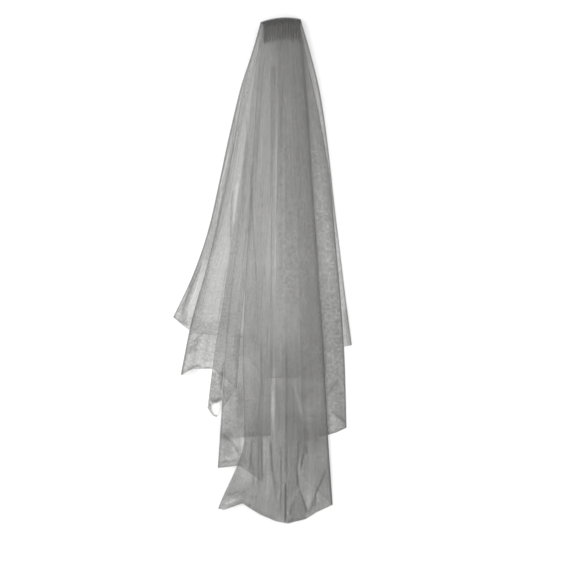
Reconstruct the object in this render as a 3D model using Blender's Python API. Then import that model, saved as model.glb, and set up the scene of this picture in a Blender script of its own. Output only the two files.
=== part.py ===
"""A bridal veil of plain soft tulle in two tiers, gathered on a hair comb and laid flat.

Metres, +Z up. The veil lies on the plane z = 0 with its comb at the +Y end and its longest
hem at the -Y end. The origin is the middle of its box, on that plane. A drop is a distance
down the veil from the outer edge of the binding.
"""

from collections import namedtuple

import bmesh
import bpy
import numpy as np

MM = 0.001

# Driving sizes
VEIL_LENGTH = 945 * MM
TULLE_WALL = 1.0 * MM
LAYER_GAP = 0.36 * MM
SEAM_GAP = 0.3 * MM
BINDING_DEPTH = 2.5 * MM
BINDING_STEPS = 25
COMB_MIDDLE = 36 * MM
COMB_WIDTH = 70 * MM
COMB_LENGTH = 38 * MM
COMB_THICKNESS = 3.2 * MM
SPINE_DEPTH = 7 * MM
TEETH = 14
TOOTH_ROOT = 0.30
TOOTH_TIP = 0.16

# The gathered edge is an arc, highest a little to the right of the comb's middle
GATHER_MIDDLE = 34 * MM
GATHER_HALF_WIDTH = 38 * MM
GATHER_PEAK = 46 * MM
GATHER_RISE = 9 * MM

LAYER_PITCH = TULLE_WALL + LAYER_GAP
CLOTH_START = BINDING_DEPTH + SEAM_GAP
TOP_Y = VEIL_LENGTH / 2

# How an upper layer settles off the edge of one below it: it stays up over the margin and
# comes down over the fade
SIDE_MARGIN = 14 * MM
SIDE_FADE = 50 * MM
HEM_MARGIN = 40 * MM
HEM_FADE = 130 * MM
COMB_MARGIN = 12 * MM
COMB_FADE = 300 * MM
COMB_SIDE_FADE = 60 * MM

# Every tier has these rows of points across it, and some more from the last one to its hem
SHARED_ROWS = [row * MM for row in (0, 24, 56, 100, 160, 225, 295, 360, 425, 485)]
HEM_ROWS = 5
RETURN_STEPS = 4
ARC_FADE = 140 * MM

# Where a fold or a free edge lies across the veil, in millimetres from the middle of its box,
# at shares of its own drop from the comb to the hem
LINE_SHARES = (0.0, 0.10, 0.25, 0.40, 0.55, 0.70, 0.85, 1.0)
FoldLine = namedtuple("FoldLine", "name hem_drop comb s10 s25 s40 s55 s70 s85 hem")

LONG_LINES = [
    FoldLine("left_free_edge", 728, -1, -12, -25, -40, -57, -71, -89, -103),
    FoldLine("left_inner_fold", 693, 10, 4, -3, -10, -20, -31, -41, -48),
    FoldLine("left_outer_fold", 667, -2, -22, -43, -60, -81, -105, -133, -153),
    FoldLine("middle_right_fold", 780, 23, 23, 21, 19, 18, 17, 16, 16),
    FoldLine("left_middle_fold", 841, -1, -12, -26, -40, -54, -67, -75, -84),
    FoldLine("middle_inner_fold", 865, 44, 41, 35, 28, 20, 10, 1, -1),
    FoldLine("centre_left_fold", 917, 3, -7, -16, -25, -32, -37, -34, -83),
    FoldLine("centre_right_fold", 910, 70, 78, 88, 97, 106, 115, 122, 131),
    FoldLine("right_inner_fold", 809, 29, 29, 28, 26, 25, 24, 24, 23),
    FoldLine("right_outer_fold", 766, 69, 84, 108, 127, 137, 147, 154, 157),
    FoldLine("right_free_edge", 783, 51, 56, 61, 65, 68, 69, 71, 74),
]
SHORT_LINES = [
    FoldLine("turned_free_edge", 570, 7, -6, -25, -43, -57, -80, -118, -147),
    FoldLine("outer_left_fold", 559, -4, -20, -43, -63, -81, -100, -128, -167),
    FoldLine("inner_right_fold", 609, 35, 33, 27, 21, 15, 8, 0, -11),
    FoldLine("inner_left_fold", 631, 10, 4, -6, -16, -26, -36, -45, -56),
    FoldLine("outer_right_edge", 611, 72, 90, 110, 123, 133, 144, 155, 167),
]

# The stretches of cloth between one line and the next, in order along the cut edge. The level
# counts the layers upwards from the floor, and the ridges are the gathers that show in one.
Stretch = namedtuple("Stretch", "name level columns ridges ridge_height")

LONG_STRETCHES = [
    Stretch("left_under_flap", 4, 5, 0, 0),
    Stretch("left_flap_back", 5, 9, 0, 0),
    Stretch("left_flap", 6, 16, 4, 0.8),
    Stretch("middle_flap_back", 7, 9, 0, 0),
    Stretch("middle_flap", 8, 10, 2, 0.6),
    Stretch("centre_left_return", 9, 7, 0, 0),
    Stretch("centre_back", 10, 36, 9, 2.2),
    Stretch("centre_right_return", 3, 8, 0, 0),
    Stretch("right_flap", 2, 14, 3, 0.6),
    Stretch("right_flap_back", 1, 8, 0, 0),
]
SHORT_STRETCHES = [
    Stretch("left_turned_edge", 13, 4, 0, 0),
    Stretch("left_panel", 14, 28, 7, 2.2),
    Stretch("middle_return", 12, 4, 0, 0),
    Stretch("right_panel", 11, 36, 9, 2.0),
]

# The hem's drop where it isn't straight between two folds, at shares of the stretch's width
HemPoint = namedtuple("HemPoint", "stretch share drop")

HEM_POINTS = [
    HemPoint("left_under_flap", 0.15, 742),
    HemPoint("left_under_flap", 0.33, 746),
    HemPoint("left_under_flap", 0.50, 730),
    HemPoint("left_flap_back", 0.42, 655),
    HemPoint("left_flap_back", 0.80, 656),
    HemPoint("left_flap", 0.13, 669),
    HemPoint("left_flap", 0.22, 654),
    HemPoint("left_flap", 0.36, 656),
    HemPoint("left_flap", 0.50, 712),
    HemPoint("left_flap", 0.68, 777),
    HemPoint("middle_flap_back", 0.50, 800),
    HemPoint("middle_flap", 0.50, 836),
    HemPoint("centre_back", 0.05, 919),
    HemPoint("centre_back", 0.21, 907),
    HemPoint("centre_back", 0.36, 927),
    HemPoint("centre_back", 0.50, 940),
    HemPoint("centre_back", 0.61, 945),
    HemPoint("centre_back", 0.77, 936),
    HemPoint("centre_back", 0.86, 924),
    HemPoint("right_flap", 0.75, 779),
    HemPoint("right_flap", 0.87, 774),
    HemPoint("right_flap_back", 0.21, 774),
    HemPoint("right_flap_back", 0.41, 779),
    HemPoint("left_panel", 0.12, 575),
    HemPoint("left_panel", 0.24, 588),
    HemPoint("left_panel", 0.85, 598),
    HemPoint("middle_return", 0.40, 628),
    HemPoint("right_panel", 0.12, 632),
    HemPoint("right_panel", 0.26, 672),
    HemPoint("right_panel", 0.52, 672),
    HemPoint("right_panel", 0.77, 621),
]

# The gathers are this share of their height at the comb, reach it after the growth, and die
# away over this share of a stretch's width at each fold
RIDGE_AT_COMB = 0.45
RIDGE_GROWTH = 250 * MM
RIDGE_EDGE = 0.10
FOLD_CREASE = np.radians(50)
HARD_EDGE = np.radians(40)


def fade(distance, margin, width):
    """1 up to the margin, then a smooth fall to 0 over the width."""
    t = np.clip((distance - margin) / width, 0, 1)
    return 1 - t * t * (3 - 2 * t)


def gather_arc(x):
    """How much lower the gathered edge is here than at its peak."""
    reach = GATHER_HALF_WIDTH + GATHER_PEAK - GATHER_MIDDLE
    return GATHER_RISE * ((x - GATHER_PEAK) / reach) ** 2


def slopes_through(at, values):
    """Slopes at the stations of a curve through them that never overshoots."""
    step = np.diff(values) / np.diff(at)
    product = step[:-1] * step[1:]
    total = step[:-1] + step[1:]
    inner = np.where(product > 0, 2 * product / np.where(total == 0, 1, total), 0)
    return np.concatenate([step[:1], inner, step[-1:]])


def line_x(line, drop):
    """How far across the veil a fold line lies at a drop. Below its hem it stays there."""
    at = np.array(LINE_SHARES)
    values = np.array(line[2:]) * MM
    slopes = slopes_through(at, values)
    share = np.clip(drop / (line.hem_drop * MM), 0, 1)
    i = np.clip(np.searchsorted(at, share, side="right") - 1, 0, len(at) - 2)
    width = at[i + 1] - at[i]
    t = (share - at[i]) / width
    return (
        values[i] * (1 + 2 * t) * (1 - t) ** 2
        + values[i + 1] * t * t * (3 - 2 * t)
        + slopes[i] * width * t * (1 - t) ** 2
        - slopes[i + 1] * width * t * t * (1 - t)
    )


def hem_drop(stretch, start, end, share):
    """The hem's drop at a share of a stretch's width."""
    points = [p for p in HEM_POINTS if p.stretch == stretch.name]
    at = [0.0] + [p.share for p in points] + [1.0]
    drops = [start.hem_drop] + [p.drop for p in points] + [end.hem_drop]
    return np.interp(share, at, drops) * MM


def placed(lines, stretches):
    """Each stretch with the two lines that it lies between."""
    return [(s, lines[i], lines[i + 1]) for i, s in enumerate(stretches)]


LONG_TIER = placed(LONG_LINES, LONG_STRETCHES)
SHORT_TIER = placed(SHORT_LINES, SHORT_STRETCHES)


def ridge_room(stretch, drop):
    """How high the gathers of a stretch may stand at a drop."""
    growth = RIDGE_AT_COMB + (1 - RIDGE_AT_COMB) * np.clip(drop / RIDGE_GROWTH, 0, 1)
    return stretch.ridge_height * MM * growth


def ridge(stretch, share, drop):
    """The height of the gathers at a share of a stretch's width. It is 0 at both its folds."""
    edge = np.clip(np.minimum(share, 1 - share) / RIDGE_EDGE, 0, 1)
    wave = 0.5 - 0.5 * np.cos(2 * np.pi * stretch.ridges * share)
    return ridge_room(stretch, drop) * wave * edge


def cover(piece, x, drop):
    """1 where a stretch lies and close round it, falling to 0 further out."""
    stretch, start, end = piece
    a, b = line_x(start, drop), line_x(end, drop)
    outside = np.maximum(np.minimum(a, b) - x, x - np.maximum(a, b))
    share = np.clip((x - a) / (b - a), 0, 1)
    below = drop - hem_drop(stretch, start, end, share)
    return fade(outside, SIDE_MARGIN, SIDE_FADE) * fade(below, HEM_MARGIN, HEM_FADE)


def comb_lift(x, drop):
    """How far the comb holds the lowest layer off the floor."""
    from_middle = np.abs(x - COMB_MIDDLE)
    beside = fade(from_middle - COMB_WIDTH / 2, COMB_MARGIN, COMB_SIDE_FADE)
    below = fade(drop - COMB_LENGTH - GATHER_RISE, COMB_MARGIN, COMB_FADE)
    return (COMB_THICKNESS + SEAM_GAP) * beside * below


def height(level, x, drop):
    """The height of the middle of the layer at this level, with all that lies under it."""
    z = TULLE_WALL / 2 + comb_lift(x, drop)
    for piece in LONG_TIER + SHORT_TIER:
        if piece[0].level < level:
            z = z + (LAYER_PITCH + ridge_room(piece[0], drop)) * cover(piece, x, drop)
    return z


def row_drops(hem):
    """The drops of a column's points, from the gathers to its hem."""
    last = SHARED_ROWS[-1]
    lower = last + (hem - last) * np.arange(1, HEM_ROWS + 1) / HEM_ROWS
    return np.concatenate([SHARED_ROWS, lower])


def fold_side(piece):
    """+1 where a stretch runs to the right along the cut edge, -1 to the left."""
    return 1 if piece[2].s55 > piece[1].s55 else -1


def fold_return(before, after):
    """The round return from one stretch to the next: where both end, and the points between."""
    line = before[2]
    side = fold_side(before)
    drop = row_drops(line.hem_drop * MM)
    x = line_x(line, drop)
    radius = np.full_like(x, LAYER_PITCH / 2)
    for _ in range(3):
        z_before = height(before[0].level, x - side * radius, drop)
        z_after = height(after[0].level, x - side * radius, drop)
        radius = np.abs(z_after - z_before) / 2
    end_x = x - side * radius
    columns = []
    for step in range(1, RETURN_STEPS):
        turn = np.pi * step / RETURN_STEPS
        z = (z_before + z_after) / 2 + (z_before - z_after) / 2 * np.cos(turn)
        columns.append((end_x + side * radius * np.sin(turn), drop, z))
    return end_x, columns


def tier_columns(tier):
    """Columns of points (x, drop, z) across a whole tier, in order along its cut edge."""
    returns = [fold_return(a, b) for a, b in zip(tier, tier[1:])]
    first, last = tier[0][1], tier[-1][2]
    ends = [line_x(first, row_drops(first.hem_drop * MM))]
    for end_x, _ in returns:
        ends.append(end_x)
    ends.append(line_x(last, row_drops(last.hem_drop * MM)))
    columns = []
    for i, (stretch, start, end) in enumerate(tier):
        for share in np.linspace(0, 1, stretch.columns + 1):
            drop = row_drops(hem_drop(stretch, start, end, share))
            x = ends[i] * (1 - share) + ends[i + 1] * share
            z = height(stretch.level, x, drop) + ridge(stretch, share, drop)
            columns.append((x, drop, z))
        if i < len(returns):
            columns.extend(returns[i][1])
    return columns


def wall_sides(columns):
    """Both faces of the wall round the columns, as arrays of points [column, row, axis]."""
    x = np.array([c[0] for c in columns])
    drop = np.array([c[1] for c in columns])
    z = np.array([c[2] for c in columns])
    along = np.stack([x, z], axis=-1)
    step = np.diff(along, axis=0)
    step /= np.linalg.norm(step, axis=-1, keepdims=True)
    tangent = np.concatenate([step[:1], step[:-1] + step[1:], step[-1:]])
    tangent /= np.linalg.norm(tangent, axis=-1, keepdims=True)
    y = TOP_Y - drop - (CLOTH_START + gather_arc(x)) * fade(drop, 0, ARC_FADE)
    sides = []
    for sign in (1, -1):
        side_x = x - sign * tangent[..., 1] * TULLE_WALL / 2
        side_z = z + sign * tangent[..., 0] * TULLE_WALL / 2
        sides.append(np.stack([side_x, y, side_z], axis=-1))
    return sides


def plain_material(name, colour, roughness, metallic=0.0):
    material = bpy.data.materials.new(name)
    material.use_nodes = True
    shader = material.node_tree.nodes["Principled BSDF"]
    shader.inputs["Base Color"].default_value = (*colour, 1)
    shader.inputs["Roughness"].default_value = roughness
    shader.inputs["Metallic"].default_value = metallic
    material.diffuse_color = (*colour, 1)
    return material


def add_object(name, points, faces, material, smooth_angle):
    """One closed mesh as an object of its own, its faces turned outwards."""
    mesh = bpy.data.meshes.new(name)
    mesh.from_pydata([tuple(p) for p in points], [], faces)
    work = bmesh.new()
    work.from_mesh(mesh)
    bmesh.ops.recalc_face_normals(work, faces=work.faces)
    work.to_mesh(mesh)
    work.free()
    mesh.shade_smooth()
    mesh.set_sharp_from_angle(angle=smooth_angle)
    mesh.materials.append(material)
    obj = bpy.data.objects.new(name, mesh)
    bpy.context.scene.collection.objects.link(obj)
    return obj


def closed_wall(upper, lower):
    """Points and faces of the wall between two grids of points of the same size."""
    columns, rows = upper.shape[:2]
    points = np.concatenate([upper.reshape(-1, 3), lower.reshape(-1, 3)])
    shift = columns * rows

    def at(column, row, side):
        return side * shift + column * rows + row

    faces = []
    for i in range(columns - 1):
        for j in range(rows - 1):
            for side in (0, 1):
                corners = [(i, j), (i + 1, j), (i + 1, j + 1), (i, j + 1)]
                faces.append([at(c, r, side) for c, r in corners])
    border = [(i, 0) for i in range(columns)]
    border += [(columns - 1, j) for j in range(1, rows)]
    border += [(i, rows - 1) for i in range(columns - 2, -1, -1)]
    border += [(0, j) for j in range(rows - 2, 0, -1)]
    for (i, j), (k, m) in zip(border, border[1:] + border[:1]):
        faces.append([at(i, j, 0), at(k, m, 0), at(k, m, 1), at(i, j, 1)])
    return points, faces


def make_tier(name, tier, material):
    """A tier of tulle as one wall, folded to and fro."""
    upper, lower = wall_sides(tier_columns(tier))
    points, faces = closed_wall(upper, lower)
    return add_object(name, points, faces, material, FOLD_CREASE)


def band(x, near, far, floor, top):
    """Points and faces of a bar along x, between two edges given as drops."""
    corners = [(near, floor), (far, floor), (far, top), (near, top)]
    points = [(xi, TOP_Y - drop[i], z) for i, xi in enumerate(x) for drop, z in corners]
    faces = [[0, 1, 2, 3]]
    for i in range(len(x) - 1):
        for j in range(4):
            k = (j + 1) % 4
            faces.append([4 * i + j, 4 * i + k, 4 * i + 4 + k, 4 * i + 4 + j])
    last = 4 * (len(x) - 1)
    faces.append([last + 3, last + 2, last + 1, last])
    return points, faces


def make_binding(material):
    """The narrow strip that holds the raw gathered edges, standing against their ends."""
    left, right = GATHER_MIDDLE - GATHER_HALF_WIDTH, GATHER_MIDDLE + GATHER_HALF_WIDTH
    x = np.linspace(left, right, BINDING_STEPS)
    outer = gather_arc(x)
    stack = height(SHORT_STRETCHES[1].level + 1, x, np.zeros_like(x))
    points, faces = band(x, outer, outer + BINDING_DEPTH, 0, float(stack.max()))
    return add_object("gather_binding", points, faces, material, HARD_EDGE)


def comb_outline():
    """The comb seen from above, as (x, drop): its spine's outer edge, then its teeth."""
    left = COMB_MIDDLE - COMB_WIDTH / 2
    pitch = COMB_WIDTH / TEETH
    root, tip = TOOTH_ROOT * pitch, TOOTH_TIP * pitch

    def spine(x, depth):
        return (x, CLOTH_START + gather_arc(x) + depth)

    outline = [spine(x, 0) for x in np.linspace(left, left + COMB_WIDTH, 2 * TEETH + 1)]
    for i in reversed(range(TEETH)):
        middle = left + (i + 0.5) * pitch
        outline.append(spine(middle + root, SPINE_DEPTH))
        outline.append(spine(middle + tip, COMB_LENGTH - 2 * tip))
        outline.append(spine(middle, COMB_LENGTH))
        outline.append(spine(middle - tip, COMB_LENGTH - 2 * tip))
        outline.append(spine(middle - root, SPINE_DEPTH))
    return outline


def make_comb(material):
    """The comb, one flat plate cut into a spine and its teeth."""
    outline = comb_outline()
    count = len(outline)
    points = [(x, TOP_Y - drop, z) for z in (0, COMB_THICKNESS) for x, drop in outline]
    faces = [list(range(count)), list(range(2 * count - 1, count - 1, -1))]
    for i in range(count):
        k = (i + 1) % count
        faces.append([i, k, count + k, count + i])
    return add_object("comb", points, faces, material, HARD_EDGE)


def clear_scene():
    for obj in list(bpy.data.objects):
        bpy.data.objects.remove(obj)


def main():
    clear_scene()
    tulle = plain_material("tulle", (0.58, 0.58, 0.56), roughness=0.85)
    binding = plain_material("binding", (0.42, 0.42, 0.41), roughness=0.6)
    comb = plain_material("comb", (0.5, 0.5, 0.5), roughness=0.3)
    make_tier("long_tier", LONG_TIER, tulle)
    make_tier("short_tier", SHORT_TIER, tulle)
    make_binding(binding)
    make_comb(comb)


main()
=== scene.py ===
from types import SimpleNamespace

import bmesh
import bpy
import numpy as np
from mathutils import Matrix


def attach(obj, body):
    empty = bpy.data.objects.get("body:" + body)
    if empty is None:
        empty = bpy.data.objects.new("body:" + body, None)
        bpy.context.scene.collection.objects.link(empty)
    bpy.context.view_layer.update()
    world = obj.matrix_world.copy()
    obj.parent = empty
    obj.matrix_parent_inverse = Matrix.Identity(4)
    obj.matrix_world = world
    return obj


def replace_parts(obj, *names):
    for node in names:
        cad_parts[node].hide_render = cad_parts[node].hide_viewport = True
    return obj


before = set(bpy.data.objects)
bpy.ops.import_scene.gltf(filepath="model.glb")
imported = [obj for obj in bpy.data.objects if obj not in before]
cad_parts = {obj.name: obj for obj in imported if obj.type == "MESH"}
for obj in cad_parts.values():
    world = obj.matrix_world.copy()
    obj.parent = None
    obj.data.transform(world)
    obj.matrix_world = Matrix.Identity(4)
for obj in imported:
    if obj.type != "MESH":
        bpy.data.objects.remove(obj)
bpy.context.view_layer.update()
print("frame loaded:", ", ".join(sorted(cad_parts)))

mm = 0.001

# the solids' own sizes, as the part has them. Each Margin and Fade says how far beyond an
# edge a layer still carries the ones over it, and how softly that ends
veilLength = 945 * mm
wall = 1.0 * mm
layerGap = 0.36 * mm
seamGap = 0.3 * mm
bindingDepth = 2.5 * mm
layerPitch = wall + layerGap
clothStart = bindingDepth + seamGap
topY = veilLength / 2
sideMargin, sideFade = 14 * mm, 50 * mm
hemMargin, hemFade = 40 * mm, 130 * mm
combMargin, combFade, combSideFade = 12 * mm, 300 * mm, 60 * mm
arcFade = 140 * mm  # the arc of the gathers evens out over this
lastSharedRow = 485 * mm  # the mesh rows run level down to here
ridgeAtComb, ridgeGrowth, ridgeEdge = 0.45, 250 * mm, 0.10  # how the gathers open out

gather = {
    "middle": 34 * mm,
    "halfWidth": 38 * mm,
    "peak": 46 * mm,
    "rise": 9 * mm,
}

comb = {
    "middle": 36 * mm,
    "width": 70 * mm,
    "length": 38 * mm,
    "thickness": 3.2 * mm,
    "spineDepth": 7 * mm,
    "spineEnds": 0.55,  # its depth at the rounded ends, of the full depth
    "spineRings": 57,
    "spineSides": 16,
    "spineSquare": 1.6,
    "teeth": 14,
    "toothRoot": 0.30,  # half width at the spine, of the tooth pitch
    "toothTip": 0.16,
    "toothThick": 0.95,  # at the spine, of the comb's thickness
    "toothThin": 0.4,  # and how much less at the tip
    "toothSeat": 2 * mm,  # how far it reaches into the spine
    "toothLift": 0.2 * mm,
    "tipShare": 0.07,  # the rounded end, of the tooth's length
    "toothRings": 15,
    "toothSides": 12,
    "toothSquare": 1.3,
    "colour": (0.13, 0.13, 0.125),
    "roughness": 0.35,
    "grain": 0.15,
    "grainScale": 900,
    "grainDepth": 0.05 * mm,
}

# across: where a fold or a free edge runs, in mm from the middle of the box, at lineShares of
# its own drop. layers: how many layers of net a stretch stands for, at layerDrops of the veil
lineShares = (0.0, 0.10, 0.25, 0.40, 0.55, 0.70, 0.85, 1.0)
layerDrops = (0.0, 0.06, 0.15, 0.30, 0.48, 0.62, 0.78, 1.0)


def foldLine(name, hemDrop, press, *across):
    # press: layers of net that pile up along it, at the top and at the hem
    return {
        "name": name,
        "hemDrop": hemDrop * mm,
        "press": press,
        "across": np.array(across) * mm,
    }


def pressAt(line, drop):
    top, hem = line["press"]
    return top + (hem - top) * np.clip(drop / line["hemDrop"], 0, 1) ** 4


def stretch(name, level, ridges, ridgeHeight, columns, waves, layers):
    # level: its place in the pile, from 1 at the bottom. ridges: how many gathers it has, and
    # ridgeHeight theirs in mm. columns: of its mesh. waves: its finer pleats
    return {
        "name": name,
        "level": level,
        "ridges": ridges,
        "ridgeHeight": ridgeHeight * mm,
        "columns": columns,
        "waves": waves,
        "layers": layers,
    }


longTier = {
    "name": "long_tier_net",
    "node": "long_tier",
    "cut": (1.20, 0.945),  # the flat size of what shows, in metres
    "cutArea": 0.83,
    "rows": (98, 107),  # mesh rows above and below lastSharedRow
    "seed": 11,
    "lines": [
        foldLine("left_free_edge", 728, (0.5, 3), -1, -12, -25, -40, -57, -71, -89, -103),
        foldLine("left_inner_fold", 693, (0.4, 1), 10, 4, -3, -10, -20, -31, -41, -48),
        foldLine("left_outer_fold", 667, (2, 5), -2, -22, -43, -60, -81, -105, -133, -153),
        foldLine("middle_right_fold", 780, (0.3, 0.6), 23, 23, 21, 19, 18, 17, 16, 16),
        foldLine("left_middle_fold", 841, (0.2, 8), -1, -12, -26, -40, -54, -67, -75, -84),
        foldLine("middle_inner_fold", 865, (0.4, 1), 44, 41, 35, 28, 20, 10, 1, -1),
        foldLine("centre_left_fold", 917, (1.2, 7), 3, -7, -16, -25, -32, -37, -34, -83),
        foldLine("centre_right_fold", 910, (18, 24), 70, 78, 88, 97, 106, 115, 122, 131),
        foldLine("right_inner_fold", 809, (0.4, 1), 29, 29, 28, 26, 25, 24, 24, 23),
        foldLine("right_outer_fold", 766, (4, 6.5), 69, 84, 108, 127, 137, 147, 154, 157),
        foldLine("right_free_edge", 783, (0.5, 1), 51, 56, 61, 65, 68, 69, 71, 74),
    ],
    "stretches": [
        stretch("left_under_flap", 4, 0, 0, 16, 8, (1.4, 1.6, 0.9, 0.3, 0.3, 0.3, 2.6, 2.9)),
        stretch("left_flap_back", 5, 0, 0, 24, 15, (2.1, 2.2, 2.9, 1.1, 1.3, 3.4, 1.7, 1.6)),
        stretch("left_flap", 6, 4, 0.8, 58, 22, (0.5, 0.3, 0.3, 0.4, 1.1, 1.2, 0.3, 0.3)),
        stretch("middle_flap_back", 7, 0, 0, 24, 15, (0.5, 0.3, 0.3, 0.3, 0.3, 0.3, 3.3, 9.8)),
        stretch("middle_flap", 8, 2, 0.6, 44, 14, (1.1, 1.2, 0.7, 1.1, 0.3, 0.3, 0.8, 4.9)),
        stretch("centre_left_return", 9, 0, 0, 14, 11, (0.5, 0.3, 0.3, 0.6, 0.7, 0.9, 0.3, 3.4)),
        stretch("centre_back", 10, 9, 2.2, 160, 34, (0.6, 0.3, 0.3, 0.3, 1.6, 4.3, 7.4, 10.7)),
        stretch("centre_right_return", 3, 0, 0, 24, 14, (2.4, 2.4, 2.1, 3.3, 1.4, 0.4, 2.9, 4.4)),
        stretch("right_flap", 2, 3, 0.6, 46, 18, (2.4, 2.6, 3.6, 4.9, 5.3, 3.2, 4, 8.7)),
        stretch("right_flap_back", 1, 0, 0, 24, 12, (3, 2.8, 3.5, 2.6, 1.8, 5.6, 5.5, 6.4)),
    ],
}

shortTier = {
    "name": "short_tier_net",
    "node": "short_tier",
    "cut": (0.60, 0.672),
    "cutArea": 0.26,
    "rows": (112, 44),
    "seed": 23,
    "lines": [
        foldLine("turned_free_edge", 570, (2, 4), 7, -6, -25, -43, -57, -80, -118, -147),
        foldLine("outer_left_fold", 559, (7, 10), -4, -20, -43, -63, -81, -100, -128, -167),
        foldLine("inner_right_fold", 609, (0.5, 0.5), 35, 33, 27, 21, 15, 8, 0, -11),
        foldLine("inner_left_fold", 631, (0.5, 0.5), 10, 4, -6, -16, -26, -36, -45, -56),
        foldLine("outer_right_edge", 611, (14, 13), 72, 90, 110, 123, 133, 144, 155, 167),
    ],
    "stretches": [
        stretch("left_turned_edge", 13, 0, 0, 14, 6, (2.6, 2.4, 2.2, 0.7, 0.3, 0.3, 1.2, 1.7)),
        stretch("left_panel", 14, 7, 2.2, 180, 26, (1.6, 1.6, 1.7, 3.3, 2.5, 1.4, 1.3, 1.5)),
        stretch("middle_return", 12, 0, 0, 30, 8, (0.5, 0.4, 0.3, 0.3, 0.3, 0.3, 0.3, 0.4)),
        stretch("right_panel", 11, 9, 2.0, 240, 36, (5.5, 5.9, 4.1, 1.1, 0.3, 0.3, 2.5, 2.3)),
    ],
}

# the hem's drop in mm where it isn't straight between two folds, at shares of a stretch
hemPoints = {
    "left_under_flap": [(0.15, 742), (0.33, 746), (0.5, 730)],
    "left_flap_back": [(0.42, 655), (0.8, 656)],
    "left_flap": [(0.13, 669), (0.22, 654), (0.36, 656), (0.5, 712), (0.68, 777)],
    "middle_flap_back": [(0.5, 800)],
    "middle_flap": [(0.5, 836)],
    "centre_back": [
        (0.05, 919), (0.21, 907), (0.36, 927), (0.5, 940), (0.61, 945), (0.77, 936),
        (0.86, 924),
    ],
    "right_flap": [(0.75, 779), (0.87, 774)],
    "right_flap_back": [(0.21, 774), (0.41, 779)],
    "left_panel": [(0.12, 575), (0.24, 588), (0.85, 598)],
    "middle_return": [(0.4, 628)],
    "right_panel": [(0.12, 632), (0.26, 672), (0.52, 672), (0.77, 621)],
}


def fade(distance, margin, width):
    t = np.clip((distance - margin) / width, 0, 1)
    return 1 - t * t * (3 - 2 * t)


def gatherArc(x):
    reach = gather["halfWidth"] + gather["peak"] - gather["middle"]
    return gather["rise"] * ((x - gather["peak"]) / reach) ** 2


def slopesThrough(at, values):
    step = np.diff(values) / np.diff(at)
    product = step[:-1] * step[1:]
    total = step[:-1] + step[1:]
    inner = np.where(product > 0, 2 * product / np.where(total == 0, 1, total), 0)
    return np.concatenate([step[:1], inner, step[-1:]])


def lineX(line, drop):
    # a smooth curve through the line's places, without overshoot
    at, values = np.array(lineShares), line["across"]
    slopes = slopesThrough(at, values)
    share = np.clip(drop / line["hemDrop"], 0, 1)
    i = np.clip(np.searchsorted(at, share, side="right") - 1, 0, len(at) - 2)
    width = at[i + 1] - at[i]
    t = (share - at[i]) / width
    return (
        values[i] * (1 + 2 * t) * (1 - t) ** 2
        + values[i + 1] * t * t * (3 - 2 * t)
        + slopes[i] * width * t * (1 - t) ** 2
        - slopes[i + 1] * width * t * t * (1 - t)
    )


def hemDropAt(piece, start, end, share):
    # where the hem is at this share of the way from one fold to the next
    points = hemPoints.get(piece["name"], [])
    at = [0.0] + [p[0] for p in points] + [1.0]
    drops = [start["hemDrop"]] + [p[1] * mm for p in points] + [end["hemDrop"]]
    return np.interp(share, at, drops)


def placed(tier):
    lines = tier["lines"]
    return [(s, lines[i], lines[i + 1]) for i, s in enumerate(tier["stretches"])]


allStretches = placed(longTier) + placed(shortTier)


def ridgeRoom(piece, drop):
    growth = ridgeAtComb + (1 - ridgeAtComb) * np.clip(drop / ridgeGrowth, 0, 1)
    return piece["ridgeHeight"] * growth


def cover(piece, start, end, x, drop):
    a, b = lineX(start, drop), lineX(end, drop)
    outside = np.maximum(np.minimum(a, b) - x, x - np.maximum(a, b))
    share = np.clip((x - a) / (b - a), 0, 1)
    below = drop - hemDropAt(piece, start, end, share)
    return fade(outside, sideMargin, sideFade) * fade(below, hemMargin, hemFade)


def combLift(x, drop):
    beside = fade(np.abs(x - comb["middle"]) - comb["width"] / 2, combMargin, combSideFade)
    below = fade(drop - comb["length"] - gather["rise"], combMargin, combFade)
    return (comb["thickness"] + seamGap) * beside * below


def layerHeight(level, x, drop):
    # the middle of the layer at this level, with all that lies under it
    z = wall / 2 + combLift(x, drop)
    for piece, start, end in allStretches:
        if piece["level"] < level:
            z = z + (layerPitch + ridgeRoom(piece, drop)) * cover(piece, start, end, x, drop)
    return z


def rowDrops(tier, hem):
    shared, lower = tier["rows"]
    upperRows = np.linspace(0, lastSharedRow, shared)
    lowerRows = lastSharedRow + (hem - lastSharedRow) * np.arange(1, lower + 1) / lower
    return np.concatenate([upperRows, lowerRows])


net = {
    "returnSteps": 6,  # mesh columns round a fold
    "ridgeDrift": 0.35,  # how far the gathers wander from an even spacing
    "driftWaves": (0.5, 3, 3),  # the fewest and the most waves across, and how many add up
    "ridgeUneven": (0.75, 0.25, 0.3),  # their middle height, how much it varies, the least
    "unevenWaves": (1, 4, 3),
    "fineHeight": 0.5 * mm,
    "fineEdge": 0.05,
    "fineWaves": (0.6, 1.2),  # the fewest and the most fine waves, of a stretch's own number
    "streaks": 0.15,  # how much the gathers vary the thickness of the net
    "streakWaves": (3, 0.8),
    "streakLimits": (0.3, 2),
    "foldWidth": 1.2 * mm,
    "hemLine": 2.8,  # layers of net in the rolled hem of a stretch with hemLayers
    "hemLayers": 3,
    "hemLimits": (0.2, 1.5),
    "hemWidth": 1.3 * mm,
    "creases": 1.4,  # how strongly the creases below show
    "creaseEnd": 0.12,  # the share of a crease that fades out at each end
    "creasePile": 5,  # so many layers of net double a crease
    "creaseLift": (-0.5 * mm, 1.2 * mm),
    "layerLimits": (0.12, 40),
    "layerDepth": 0.105,  # what one layer takes out of the light
    "steepest": 0.35,  # net steeper than this gets no darker
    "colour": (0.263, 0.263, 0.251),
    "roughness": 0.8,
    "specular": 0.15,
    "sheen": 0.05,
}

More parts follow.
